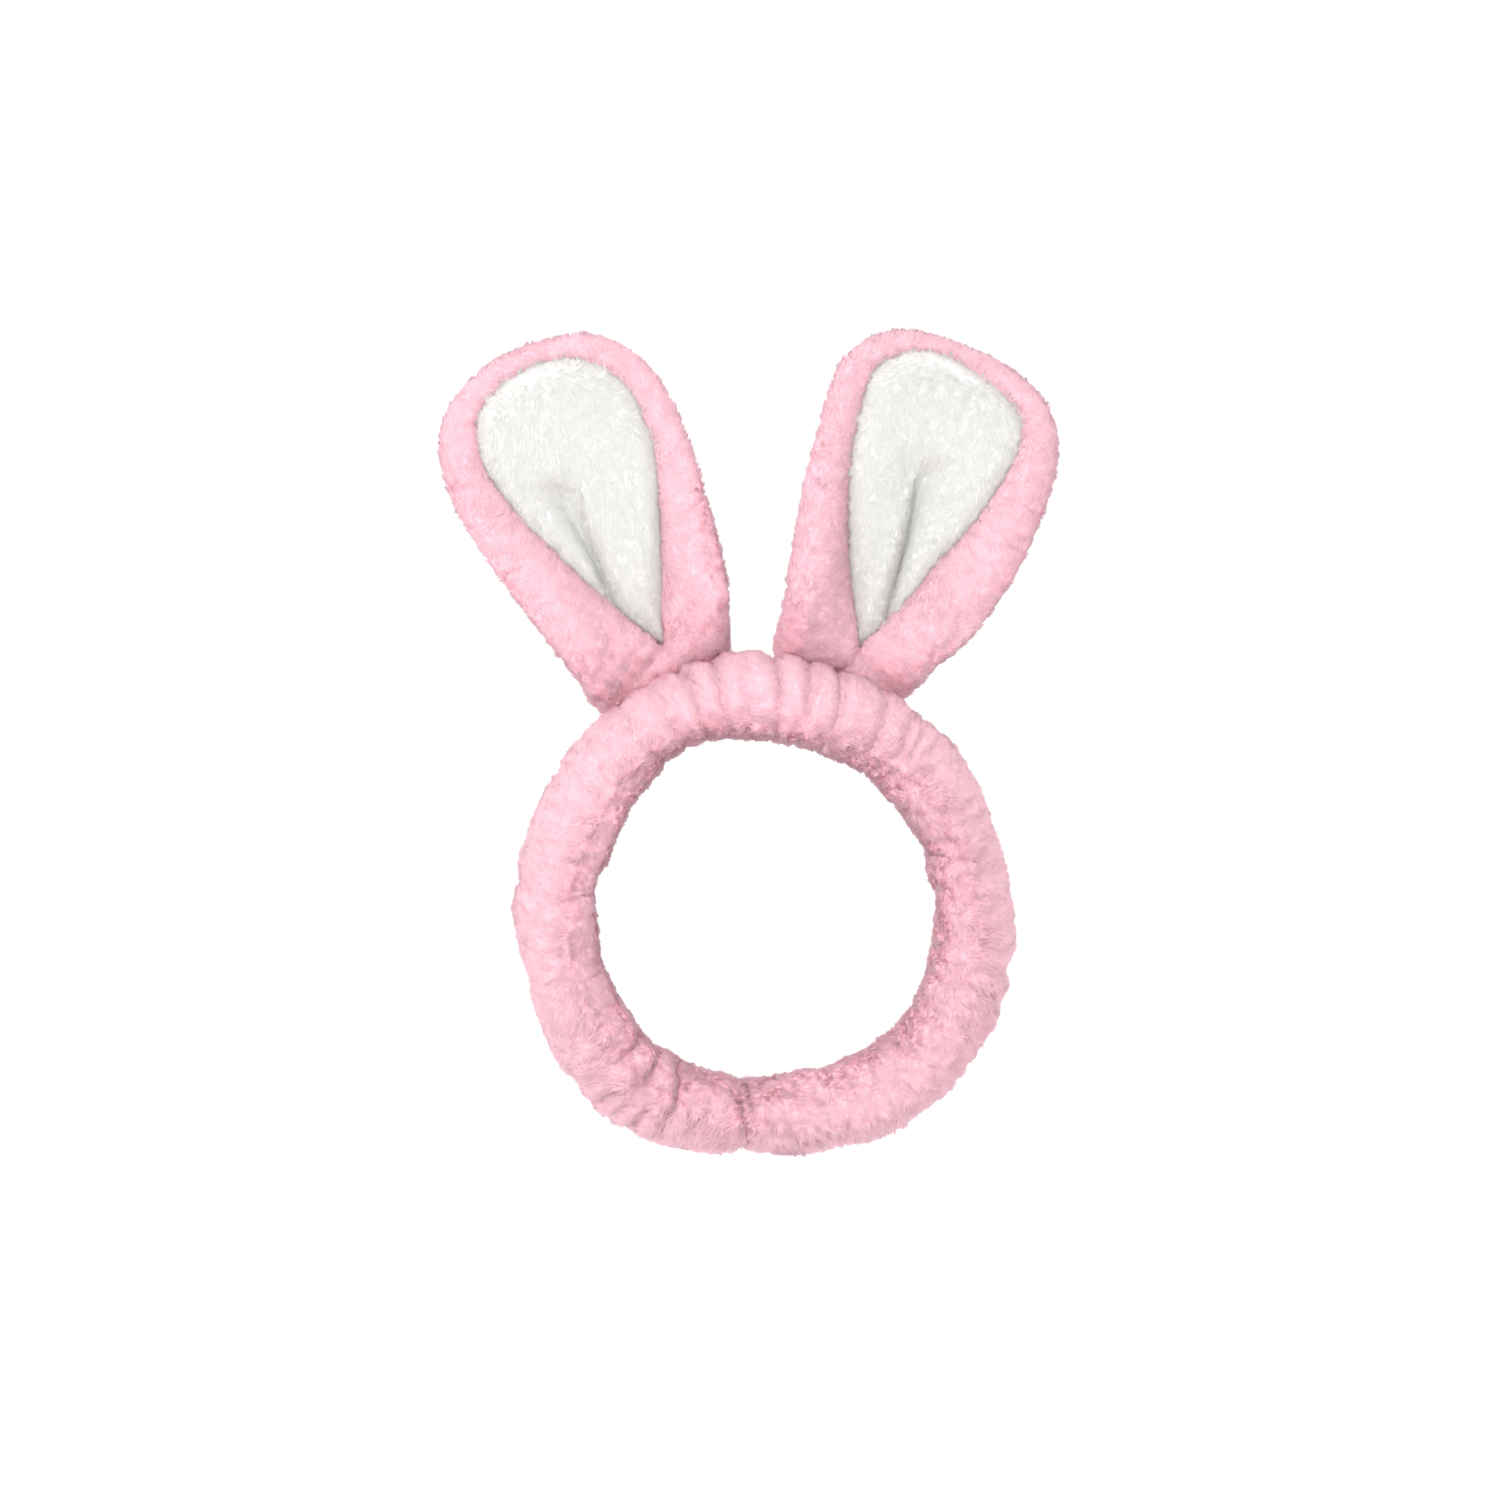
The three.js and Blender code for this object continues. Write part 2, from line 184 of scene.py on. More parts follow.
pink_pile = pile_material("pink_pile", (0.95, 0.61, 0.68), (0.965, 0.632, 0.702), (0.975, 0.652, 0.722),
                          (0.96, 0.90, 0.92), (1.0, 1.0, 1.0))
white_pile = pile_material("white_pile", (0.85, 0.84, 0.82), (0.86, 0.853, 0.83), (0.865, 0.86, 0.84),
                           (0.98, 0.98, 0.98), (1.0, 1.0, 1.0))
# the pink backing is a little darker than the pink pile: painted shade in the gaps between fibres
pink_under_pile_shaded = speckled_material("backing_pink_painted_shade", (0.91, 0.55, 0.63), (0.88, 0.49, 0.58))
white_skin = speckled_material("white_backing", (0.875, 0.87, 0.85), (0.86, 0.85, 0.83))
pink_thread = speckled_material("pink_thread", (0.93, 0.56, 0.64), (0.86, 0.46, 0.54))

make_studio()


# ---- Geometry helpers: everything is in millimetres until a mesh is made ----
def soft_noise(points, size, seed, waves=14):
    """A smooth random field, about -1 to 1, whose features are about `size` across."""
    draw = np.random.default_rng(seed)
    directions = draw.normal(size=(waves, 3))
    directions /= np.linalg.norm(directions, axis=1)[:, None]
    frequencies = TAU / size * draw.uniform(0.5, 1.1, waves)
    phases = draw.uniform(0, TAU, waves)
    total = np.zeros(points.shape[:-1])
    for direction, frequency, phase in zip(directions, frequencies, phases):
        total += np.sin(points @ direction * frequency + phase)
    return total / math.sqrt(waves / 2)


def smoothstep(low, high, value):
    share = np.clip((value - low) / (high - low), 0, 1)
    return share * share * (3 - 2 * share)


def unit(vectors):
    return vectors / np.maximum(np.linalg.norm(vectors, axis=-1, keepdims=True), 1e-9)


def line_distance(points, line):
    """How far points in a plane are from a line of several straight stretches."""
    nearest = np.full(points.shape[:-1], np.inf)
    for first, last in zip(np.array(line[:-1], float), np.array(line[1:], float)):
        step = last - first
        share = np.clip(((points - first) @ step) / (step @ step), 0, 1)
        nearest = np.minimum(nearest, np.linalg.norm(points - first - share[..., None] * step, axis=-1))
    return nearest


class Grid:
    """A surface sampled on rows and columns. Rows join up into a ring; so do columns unless the
    first and last columns are poles."""

    def __init__(self, points, poles, outward):
        self.points = points
        self.poles, self.outward = poles, outward
        along_u = np.roll(points, -1, 0) - np.roll(points, 1, 0)
        along_v = np.gradient(points, axis=1) * 2 if poles else np.roll(points, -1, 1) - np.roll(points, 1, 1)
        self.cross = np.cross(along_u, along_v) * outward
        self.normals = unit(self.cross)

    def mesh(self, name, material):
        rows, columns = self.points.shape[:2]
        index = np.arange(rows * columns).reshape(rows, columns)
        if self.poles:
            index[:, 0], index[:, -1] = index[0, 0], index[0, -1]
        i = np.arange(rows)[:, None]
        j = np.arange(columns - 1 if self.poles else columns)[None, :]
        next_i, next_j = (i + 1) % rows, (j + 1) % columns
        quads = np.stack([index[i, j], index[next_i, j], index[next_i, next_j], index[i, next_j]], -1)
        if self.outward < 0:
            quads = quads[..., ::-1]
        triangles = np.concatenate([quads[..., [0, 1, 2]], quads[..., [0, 2, 3]]]).reshape(-1, 3)
        a, b, c = triangles.T
        triangles = triangles[(a != b) & (b != c) & (c != a)]
        used, triangles = np.unique(triangles, return_inverse=True)
        return make_mesh(name, self.points.reshape(-1, 3)[used], triangles.reshape(-1, 3), [material])

    def areas(self, weight):
        """The area of each cell, weighted."""
        area = np.linalg.norm(self.cross, axis=-1) * weight / 4
        if self.poles:
            area = (area[:, :-1] + area[:, 1:]) / 2
        return area

    def sample(self, count, draw, weight):
        """Random places on the surface, even by area: position, normal and tangent."""
        area = self.areas(weight)
        chance = area.ravel() / area.sum()
        cell = draw.choice(chance.size, size=count, p=chance)
        i, j = np.unravel_index(cell, area.shape)
        fu, fv = draw.random(count), draw.random(count)
        rows, columns = self.points.shape[:2]
        i2, j2 = (i + 1) % rows, (j + 1) % columns

        def mixed(field):
            shape = (count,) + (1,) * (field.ndim - 2)
            a, b = fu.reshape(shape), fv.reshape(shape)
            return ((field[i, j] * (1 - a) + field[i2, j] * a) * (1 - b)
                    + (field[i, j2] * (1 - a) + field[i2, j2] * a) * b)
        return mixed


def make_mesh(name, points, faces, materials, normals=None, fibre_map=None):
    """A mesh object from arrays; faces all have the same number of corners."""
    corners = faces.shape[1]
    mesh = bpy.data.meshes.new(name)
    mesh.vertices.add(len(points))
    mesh.vertices.foreach_set("co", (points * MM).astype(np.float32).ravel())
    mesh.loops.add(faces.size)
    mesh.loops.foreach_set("vertex_index", faces.astype(np.int32).ravel())
    mesh.polygons.add(len(faces))
    mesh.polygons.foreach_set("loop_start", np.arange(0, faces.size, corners, dtype=np.int32))
    mesh.polygons.foreach_set("loop_total", np.full(len(faces), corners, np.int32))
    for material in materials:
        mesh.materials.append(material)
    mesh.polygons.foreach_set("use_smooth", np.ones(len(faces), bool))
    mesh.update(calc_edges=True)
    if fibre_map is not None:
        layer = mesh.uv_layers.new(name=FIBRE_MAP)
        layer.uv.foreach_set("vector", fibre_map[faces.ravel()].astype(np.float32).ravel())
    if normals is not None:
        mesh.normals_split_custom_set_from_vertices(normals)
    thing = bpy.data.objects.new(name, mesh)
    bpy.context.scene.collection.objects.link(thing)
    return thing


# ---- Pile: tufts of tapering fibres standing on a surface ----
FIBRES_PER_TUFT = 3
FIBRE_WIDTH = 0.35
TUFT_RADIUS = 0.4
ROOT_DEPTH = 0.08        # roots start inside the backing
MOST_FIBRES = 48000      # in one piece


def grow_pile(grid, seed, density, length, comb, lean=2.0, clump=0.2, weight=1.0, wildness=0.12,
              ripple=1.0, evenness=0.5):
    """Fibres as arrays: base point, tip, shading normal and shade. `comb` is the direction the pile
    lies in and `evenness` how far a fibre's shading follows the cloth under it, as a share of the
    normal. `length`, `clump`, `weight`, `wildness` and `evenness` may be fields on the grid."""
    draw = np.random.default_rng(seed)
    count = int(grid.areas(weight).sum() * density / FIBRES_PER_TUFT)
    mixed = grid.sample(count, draw, weight)
    centre, normal = mixed(grid.points), unit(mixed(grid.normals))
    length, wildness, clump, evenness = (mixed(np.broadcast_to(field, grid.points.shape[:2]))
                                         for field in (length, wildness, clump, evenness))
    wildness, clump = wildness[:, None], clump[:, None, None]
    comb = mixed(comb)
    comb = unit(comb - normal * (comb * normal).sum(-1, keepdims=True))
    side = np.cross(normal, comb)
    swirl = (soft_noise(centre, 30, seed + 1) * 0.45 + soft_noise(centre, 5, seed + 2) * 0.35) * ripple
    flow = comb * np.cos(swirl)[:, None] + side * np.sin(swirl)[:, None]
    rows = soft_noise(centre, 3.2, seed + 5) * ripple
    direction = unit(normal * (1 + 0.3 * rows[:, None]) + flow * lean + draw.normal(size=(count, 3)) * wildness)
    reach = length * draw.uniform(0.85, 1.1, count) * (1 + 0.1 * rows)
    # a fibre's tone: random patches and fibres, plus painted light and shade on the rows, lighter where the
    # pile stands up and darker where it lies flatter
    shade = 0.5 + soft_noise(centre, 7, seed + 3) * 0.12 + rows * 0.12 + draw.normal(size=count) * 0.15

    each = FIBRES_PER_TUFT
    angle = draw.uniform(0, TAU, (count, each))
    radius = TUFT_RADIUS * np.sqrt(draw.random((count, each)))
    offset = (comb[:, None] * (np.cos(angle) * radius)[..., None]
              + side[:, None] * (np.sin(angle) * radius)[..., None])
    base = centre[:, None] + offset - normal[:, None] * ROOT_DEPTH
    stray = draw.normal(size=(count, each, 3)) * 0.1
    tip = (centre[:, None] + offset * (1 - clump) + stray
           + direction[:, None] * (reach[:, None] * draw.uniform(0.8, 1.12, (count, each)))[..., None])
    return (base.reshape(-1, 3), tip.reshape(-1, 3),
            np.repeat(normal * evenness[:, None], each, 0), np.clip(np.repeat(shade, each), 0, 0.96))


def pile_pieces(name, fibres, material, split=None):
    """Fibres as closed three-sided spikes, in pieces of at most MOST_FIBRES."""
    base, tip, normal, shades = fibres
    order = np.argsort(split if split is not None else np.arange(len(base)), kind="stable")
    number = math.ceil(len(base) / MOST_FIBRES)
    made = []
    for part, chosen in enumerate(np.array_split(order, number)):
        b, t, n, k = base[chosen], tip[chosen], normal[chosen], shades[chosen]
        along = unit(t - b)
        first = unit(np.cross(along, n + 0.001))
        second = np.cross(along, first)
        ring = []
        for corner in range(3):
            turn = TAU * (corner / 3 - 1 / 12)
            ring.append(first * math.cos(turn) + second * math.sin(turn))
        ring = np.stack(ring, 1)
        corners = b[:, None] + ring * (FIBRE_WIDTH / 2)
        points = np.concatenate([corners, t[:, None]], 1).reshape(-1, 3)
        start = np.arange(len(b))[:, None] * 4
        pattern = np.array([[0, 1, 3], [1, 2, 3], [2, 0, 3], [0, 2, 1]])
        faces = (start[:, None, :] + pattern[None]).reshape(-1, 3)
        evenness = np.linalg.norm(n, axis=-1)[:, None, None]
        sides = np.concatenate([ring, along[:, None]], 1)
        follows = np.clip((sides * unit(n)[:, None]).sum(-1, keepdims=True) + 0.4, 0, 1)
        shade = unit(n[:, None] * follows + sides * (1 - evenness * follows))
        across = k[:, None] + np.array([0, 0.02, 0.04, 0.02])
        along_map = np.broadcast_to([0.01, 0.01, 0.01, 0.99], across.shape)
        made.append(make_mesh(f"{name}_{part + 1}" if number > 1 else name, points, faces, [material],
                              shade.reshape(-1, 3), np.stack([across, along_map], -1).reshape(-1, 2)))
    return made


# ---- Cloth: padding blown up between the seams and creases that hold it ----
CLOTH_SCALE = 40         # the solver works best on a large model


def inflated(start, rest, hold, faces, pressure, frames, most):
    """Where cloth starting at `start`, cut to the size of `rest`, settles under pressure from
    inside. `hold` is how firmly each point stays where it is, and `most` the farthest one moves."""
    shape = start.shape
    mesh = bpy.data.meshes.new("cloth")
    mesh.from_pydata((start.reshape(-1, 3) * MM * CLOTH_SCALE).tolist(), [], faces)
    cloth = bpy.data.objects.new("cloth", mesh)
    scene = bpy.context.scene
    scene.collection.objects.link(cloth)
    cloth.shape_key_add(name="Basis")
    cut = cloth.shape_key_add(name="cut")
    cut.data.foreach_set("co", (rest.reshape(-1, 3) * MM * CLOTH_SCALE).astype(np.float32).ravel())
    held = cloth.vertex_groups.new(name="held")
    for index in np.flatnonzero(hold.ravel() > 0.02):
        held.add([int(index)], float(hold.ravel()[index]), "REPLACE")
    modifier = cloth.modifiers.new("cloth", "CLOTH")
    settings = modifier.settings
    settings.quality = 5
    settings.tension_stiffness = settings.compression_stiffness = 40
    settings.shear_stiffness = 8
    settings.bending_stiffness = 0.5
    settings.use_pressure = True
    settings.uniform_pressure_force = pressure
    settings.effector_weights.gravity = 0
    settings.vertex_group_mass = "held"
    settings.rest_shape_key = cut
    modifier.collision_settings.use_collision = False
    modifier.point_cache.frame_start, modifier.point_cache.frame_end = 1, frames
    for frame_number in range(1, frames + 1):
        scene.frame_set(frame_number)
    settled = cloth.evaluated_get(bpy.context.evaluated_depsgraph_get()).to_mesh()
    found = np.empty(len(settled.vertices) * 3, np.float32)
    settled.vertices.foreach_get("co", found)
    bpy.data.objects.remove(cloth)
    bpy.data.meshes.remove(mesh)
    scene.frame_set(1)
    move = found.reshape(shape) / MM / CLOTH_SCALE - start
    far = np.linalg.norm(move, axis=-1, keepdims=True)
    return start + move * np.minimum(1, most / np.maximum(far, 1e-6))


def doubled(points, axis):
    """Twice as many points along a closed direction, the new ones on a smooth curve."""
    before, after, last = (np.roll(points, shift, axis) for shift in (1, -1, -2))
    middle = (9 * (points + after) - before - last) / 16
    shape = list(points.shape)
    shape[axis] *= 2
    return np.stack([points, middle], axis + 1).reshape(shape)


# ---- Band ----
PILE = 1.6               # height of the lying pile over the backing
SLACK = 1.0              # the cover starts this much too small and is blown up
BAND_HALF_WIDTH = 22.0 - PILE - SLACK
BAND_ROWS, BAND_COLUMNS = 480, 48
END_SEAM = math.radians(264.5)
CROWN = math.radians(88)
LOW_RIGHT = math.radians(300)

# gathers on the crown: the angle of each crease between them in degrees, and how deep it is
CROWN_CREASES = [(53, 0.8), (61, 0.8), (71.5, 1.0), (79.5, 1.0), (87.6, 1.0), (95.4, 0.4), (102, 1.0),
                 (109.3, 1.0), (116, 0.8), (124, 0.8)]

# other creases seen from the front: depth, then points (right, up) from the ring's centre
FRONT_CREASES = [
    (1.3, [(-46, -43), (-50, -46.5), (-54, -48)]),
    (1.5, [(-40, -49), (-42, -54), (-47, -58.5), (-50, -59.5)]),
    (2.0, [(-34, -52), (-32, -58), (-33.5, -63), (-36, -68)]),
    (1.8, [(-43.5, -66), (-47, -71), (-51, -76)]),
    (1.5, [(-53.5, -60.5), (-59, -63.5), (-64, -67)]),
    (0.8, [(-59, -36), (-63, -37.5)]),
    (0.7, [(-72, -52), (-66, -49), (-60, -47)]),
    (0.7, [(-82, -22), (-74, -20), (-64, -20)]),
    (0.7, [(-78, -10), (-66, -10)]),
    (1.8, [(-10, -67), (-9, -73), (-7, -84)]),
    (1.1, [(13, -57), (12, -61), (9.5, -67)]),
]

# radii in millimetres at angles in degrees, from the wearer's left (0) over the crown (90)
OUTER_RADII = [(0, 89), (20, 86), (40, 88), (60, 88), (75, 90), (90, 91.5), (105, 91), (120, 90),
               (140, 85.5), (160, 85.5), (180, 85.3), (200, 84.2), (220, 86.5), (240, 89.5), (255, 86),
               (270, 85), (285, 88), (310, 92.5), (330, 94.5), (345, 91)]
INNER_RADII = [(0, 62.5), (30, 60), (60, 57.5), (90, 59), (120, 64), (150, 62.5), (180, 62.8), (210, 62),
               (240, 63.2), (270, 63), (290, 65), (320, 66.2), (345, 63.5)]


def round_ring(table, angle, waves=6):
    """A smooth closed curve of radius through a few (degrees, radius) pairs."""
    def terms(turn):
        return np.stack([np.ones_like(turn)] + [wave(k * turn) for k in range(1, waves + 1)
                                                for wave in (np.cos, np.sin)], -1)
    places = np.radians([place for place, _ in table])
    return terms(angle) @ np.linalg.lstsq(terms(places), [radius for _, radius in table], rcond=None)[0]


def front_seam(angle):
    """Where round the section the front seam runs: nearest the hole on the crown, and towards the
    outside at the lower right."""
    low_right = np.exp(-(np.angle(np.exp(1j * (angle - LOW_RIGHT))) / 0.55) ** 2)
    return 1.5 * math.pi - 0.25 - 0.5 * np.exp(-((angle - CROWN) / 0.6) ** 2) + 0.6 * low_right


def crown_share(angle):
    """1 on the crown, where the gathers are even and full, and 0 away from it."""
    return np.exp(-((angle - CROWN) / 0.75) ** 4)


def gather_edges(draw):
    """Angles and depths of the creases between gathers: set on the crown, uneven elsewhere."""
    edges = [(math.radians(degrees), depth) for degrees, depth in CROWN_CREASES]
    angle = 131.0
    while angle < 360 + CROWN_CREASES[0][0] - 4:
        short = 1 if angle > 300 else 0
        edges.append((math.radians(angle) % TAU, draw.uniform(0.2, 0.6) + 0.3 * short))
        angle += (11.0 - 4.5 * short) * draw.uniform(0.75, 1.3)
    return np.array(edges).T


def band_grid():
    a = (np.arange(BAND_ROWS) / BAND_ROWS * TAU)[:, None]
    s = (np.arange(BAND_COLUMNS) / BAND_COLUMNS * TAU)[None, :]
    a, s = np.broadcast_arrays(a, s)
    outer = round_ring(OUTER_RADII, a) - PILE - SLACK
    inner = round_ring(INNER_RADII, a) + PILE + 0.6 * SLACK
    middle, half = (outer + inner) / 2, (outer - inner) / 2
    c, n = np.cos(s), np.sin(s)

    def tube(turn, ring_growth):
        radius = middle * ring_growth + half * np.sign(c) * np.abs(c) ** 0.93
        along_axis = BAND_HALF_WIDTH * np.sign(n) * np.abs(n) ** 0.93
        return np.stack([np.cos(turn) * radius, along_axis, np.sin(turn) * radius], -1)

    start = tube(a, 1.0)
    edges, depths = gather_edges(np.random.default_rng(11))
    on_crown = crown_share(a)
    wander = (soft_noise(start, 30, 21) * 0.03 + soft_noise(start, 12, 22) * 0.012) * (1 - 0.8 * on_crown)
    gap = np.angle(np.exp(1j * (a[..., None] + wander[..., None] - edges)))
    nearest = np.abs(gap).argmin(-1)
    distance = np.abs(gap).min(-1) * 76
    outside = smoothstep(-0.6, 0.3, c)
    crease = np.exp(-(distance / (1.7 + 0.9 * outside)) ** 2) * depths[nearest]
    sunk = crease * (0.35 + 0.65 * outside) * (1.6 + 1.0 * on_crown)
    facing_front = smoothstep(0.2, -0.25, n)
    for depth, line in FRONT_CREASES:
        near = np.exp(-(line_distance(start[..., [0, 2]], line) / 2.0) ** 2) * facing_front
        sunk = np.maximum(sunk, near * depth)
        crease = np.maximum(crease, near * min(depth / 2, 0.8))
    end_seam = np.exp(-(np.angle(np.exp(1j * (a - END_SEAM))) / 0.03) ** 2)
    inward = -Grid(start, False, -1).normals
    low_left = np.exp(-((a - math.radians(235)) / 0.45) ** 2)
    swell = 1.8 * low_left * (1 - crease) * smoothstep(0.6, -0.2, n)
    start = start + inward * (sunk + 0.8 * end_seam - swell)[..., None]

    fullness = 1 + 0.6 * (0.45 + 0.6 * on_crown[:, 0] + 0.7 * low_left[:, 0])
    cut_turn = np.concatenate([[0], np.cumsum(fullness)[:-1]]) / fullness.sum() * TAU
    cut = tube(cut_turn[:, None] + 0 * a, fullness.mean())
    seam = np.exp(-((s - front_seam(a)) / 0.1) ** 2)
    hold = np.maximum(np.maximum(0.85 * seam, 0.75 * crease), 0.8 * end_seam)
    index = np.arange(a.size).reshape(a.shape)
    beside, below = np.roll(index, -1, 1), np.roll(index, -1, 0)
    quads = np.stack([index, beside, np.roll(below, -1, 1), below], -1).reshape(-1, 4)
    settled = inflated(start, cut, hold, quads.tolist(), 20, 18, 5.0)
    fine = doubled(doubled(settled, 0), 1)
    a = (np.arange(2 * BAND_ROWS) / BAND_ROWS * math.pi)[:, None]
    s = (np.arange(2 * BAND_COLUMNS) / BAND_COLUMNS * math.pi)[None, :]
    a, s = np.broadcast_arrays(a, s)
    near_seam = np.exp(-((s - front_seam(a)) / 0.13) ** 2)
    lift = near_seam * (0.5 + 0.5 * soft_noise(fine, 5, 25))
    lift = lift + 0.5 * soft_noise(fine, 13, 31) * (1 - crown_share(a))
    fine = fine + Grid(fine, False, -1).normals * lift[..., None]
    return Grid(fine, False, -1), a, s, doubled(doubled(crease, 0), 1)


def make_band():
    grid, a, s, crease = band_grid()
    cover = grid.mesh("band_cover", pink_under_pile_shaded)
    past = s - front_seam(a)
    low = 0.5 - 0.5 * np.sin(a)
    tufty = np.exp(-(past / np.where(past > 0, 0.42 + 0.8 * low ** 2, 0.3)) ** 2)
    tufty = np.maximum(tufty, 0.35 * crease)
    near_end = np.exp(-(np.angle(np.exp(1j * (a - END_SEAM))) / 0.06) ** 2)
    across = np.roll(grid.points, -1, 1) - np.roll(grid.points, 1, 1)
    fibres = grow_pile(grid, 101, 8.0, 2.1 + 1.3 * tufty + 1.2 * near_end, unit(across),
                       wildness=0.1 + 0.4 * tufty + 0.3 * near_end, clump=0.15 + 0.5 * tufty,
                       evenness=0.6 - 0.2 * tufty)
    angles = np.arctan2(fibres[0][:, 2], fibres[0][:, 0])
    pile = pile_pieces("band_pile", fibres, pink_pile, split=angles)
    for piece in [cover, *pile]:
        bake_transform(piece)
    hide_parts("band_cover_upper", "band_cover_lower", "long_seam_allowance_upper",
                "long_seam_allowance_lower", "long_seam_stitching_upper", "long_seam_stitching_lower",
                "end_seam_allowance")


make_band()


ELASTIC_RADIUS, ELASTIC_HALF_WIDTH, ELASTIC_THICKNESS = 69.6, 10.0, 1.2


def make_elastic():
    """The knitted elastic loop inside the cover."""
    turns, corners = 360, 4
    a = (np.arange(turns) / turns * TAU)[:, None]
    radius = ELASTIC_RADIUS + np.array([[0, 1, 1, 0]]) * ELASTIC_THICKNESS
    across = np.array([[-1, -1, 1, 1]]) * ELASTIC_HALF_WIDTH + 0 * a
    loop = Grid(np.stack([np.cos(a) * radius, across, np.sin(a) * radius], -1), False, 1)
    woven = speckled_material("woven_elastic", (0.86, 0.86, 0.84), (0.70, 0.70, 0.68))
    elastic = loop.mesh("elastic_loop", woven)
    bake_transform(elastic)
    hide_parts("elastic_upper", "elastic_lower", "elastic_left_run", "elastic_right_run",
                "elastic_lapped_end", "elastic_box_stitch")


make_elastic()


# ---- Ears ----
EAR_RADIUS = 88.6        # from the ring's centre to the zero line of an ear's outline
EAR_SETBACK = 9.0
EAR_TURNS = 220
UNDER_RINGS, BORDER_RINGS, BACK_RINGS = 4, 18, 22
PANEL_RINGS, BEHIND_RINGS = 24, 5
EAR_INSET = 0.4          # the backing is smaller than the fluffy outline by this
EAR_MIDDLE = np.array([1.0, 72.0])

# outlines and creases in millimetres: first towards the middle of the head, then up from the band
EARS = {
    "left": {
        "lean": -23.4, "inner_side": 1,
        "outline": [(0, -9), (-22, -9), (-28, 11), (-33, 31), (-38, 52), (-42, 75), (-42, 92), (-38, 107),
                    (-27, 118), (-4, 125), (23, 121), (37, 109), (43, 92), (43, 71), (40, 50), (37, 32),
                    (32, 12), (24, -9)],
        "white": [(5, 13), (-8, 36), (-16, 55), (-22, 72), (-26, 92), (-20, 109), (0, 116), (18, 112),
                  (29, 98), (30, 80), (26, 62), (18, 40), (10, 22)],
        "valley": [(-5, 24), (-4, 46), (-6, 74)],
        "flap_crease": [(-27, -2), (-8, 2), (4, 7), (5, 13)],
    },
    "right": {
        "lean": 20.4, "inner_side": -1,
        "outline": [(0, -9), (-23, -9), (-31, 11), (-39, 30), (-45, 51), (-48, 73), (-47.5, 92), (-41, 107),
                    (-27, 117), (-4, 121), (24, 118), (38, 105), (41, 92), (40, 72), (38.5, 53), (35, 33),
                    (30, 10), (23, -9)],
        "white": [(-2, 12), (-11, 27), (-17, 44), (-25, 65), (-30, 91), (-24, 105), (-2, 113), (15, 112),
                  (27, 101), (27, 85), (23, 62), (14, 38), (4, 20)],
        "valley": [(-8, 20), (-6, 40), (-5, 58), (-3, 76)],
        "flap_crease": [(-25, -4), (-14, 0), (-4, 5), (-2, 12)],
    },
}


def closed_curve(points, count, inset=0.0):
    """A smooth closed curve through points, optionally moved inwards."""
    corners = np.array(points, float)
    place = np.arange(count) / count * len(corners)
    i = np.floor(place).astype(int)
    f = (place - i)[:, None]
    before, here, there, after = (corners[(i + k) % len(corners)] for k in (-1, 0, 1, 2))
    curve = 0.5 * (2 * here + (there - before) * f + (2 * before - 5 * here + 4 * there - after) * f ** 2
                   + (3 * here - 3 * there + after - before) * f ** 3)
    step = unit(np.roll(curve, -1, 0) - np.roll(curve, 1, 0))
    return curve + np.stack([step[:, 1], -step[:, 0]], -1) * inset


def by_direction(curve):
    """The curve resampled at even directions from the ear's middle."""
    angles = np.unwrap(np.arctan2(*(curve - EAR_MIDDLE).T))
    if angles[-1] < angles[0]:
        curve, angles = curve[::-1], angles[::-1]
    wanted = np.arange(EAR_TURNS) / EAR_TURNS * TAU
    angles = np.concatenate([angles - TAU, angles, angles + TAU, angles + 2 * TAU])
    curve = np.concatenate([curve] * 4)
    return np.stack([np.interp(wanted, angles, curve[:, k]) for k in (0, 1)], -1)


def ear_to_world(ear, flat, depth):
    lean = math.radians(ear["lean"])
    across, up = flat[..., 0] * ear["inner_side"], flat[..., 1] + EAR_RADIUS
    x = math.sin(lean) * up + math.cos(lean) * across
    z = math.cos(lean) * up - math.sin(lean) * across
    return np.stack([x, EAR_SETBACK + depth, z], -1)


def ear_curl(flat):
    """How far back (+) the ear's middle layer lies: it is cupped, most near its base."""
    across, up = flat[..., 0], flat[..., 1]
    width = 27 + 16 * np.clip(up / 85, 0, 1)
    curl = 5 + 9 * (1 - smoothstep(10, 110, up))
    return 3.0 - curl * smoothstep(-8, 20, up) * (np.abs(across) / width) ** 2


def facing(points):
    """+1 if rows crossed with columns point forward round the first pole, else -1."""
    return -1 if Grid(points, True, 1).cross[:, 1:6, 1].sum() > 0 else 1


def polar_quads(rows, columns):
    index = np.arange(rows * columns).reshape(rows, columns)
    index[:, 0], index[:, -1] = index[0, 0], index[0, -1]
    here, there = index, np.roll(index, -1, 0)
    return np.stack([here[:, :-1], there[:, :-1], there[:, 1:], here[:, 1:]], -1).reshape(-1, 4)


def blown_up(points, hold, pressure, most):
    """A closed polar grid of cloth after inflating; its poles are single points."""
    rows, columns = points.shape[:2]
    quads = polar_quads(rows, columns)
    used, quads_used = np.unique(quads, return_inverse=True)
    quads_used = quads_used.reshape(-1, 4)
    faces = [list(dict.fromkeys(face)) for face in quads_used.tolist()]
    if facing(points) < 0:
        faces = [face[::-1] for face in faces]
    start = points.reshape(-1, 3)[used]
    settled = inflated(start, start * 1.0, hold.reshape(-1)[used], faces, pressure, 16, most)
    result = points.reshape(-1, 3).copy()
    result[used] = settled
    result = result.reshape(points.shape)
    result[:, 0], result[:, -1] = result[0, 0], result[0, -1]
    return result


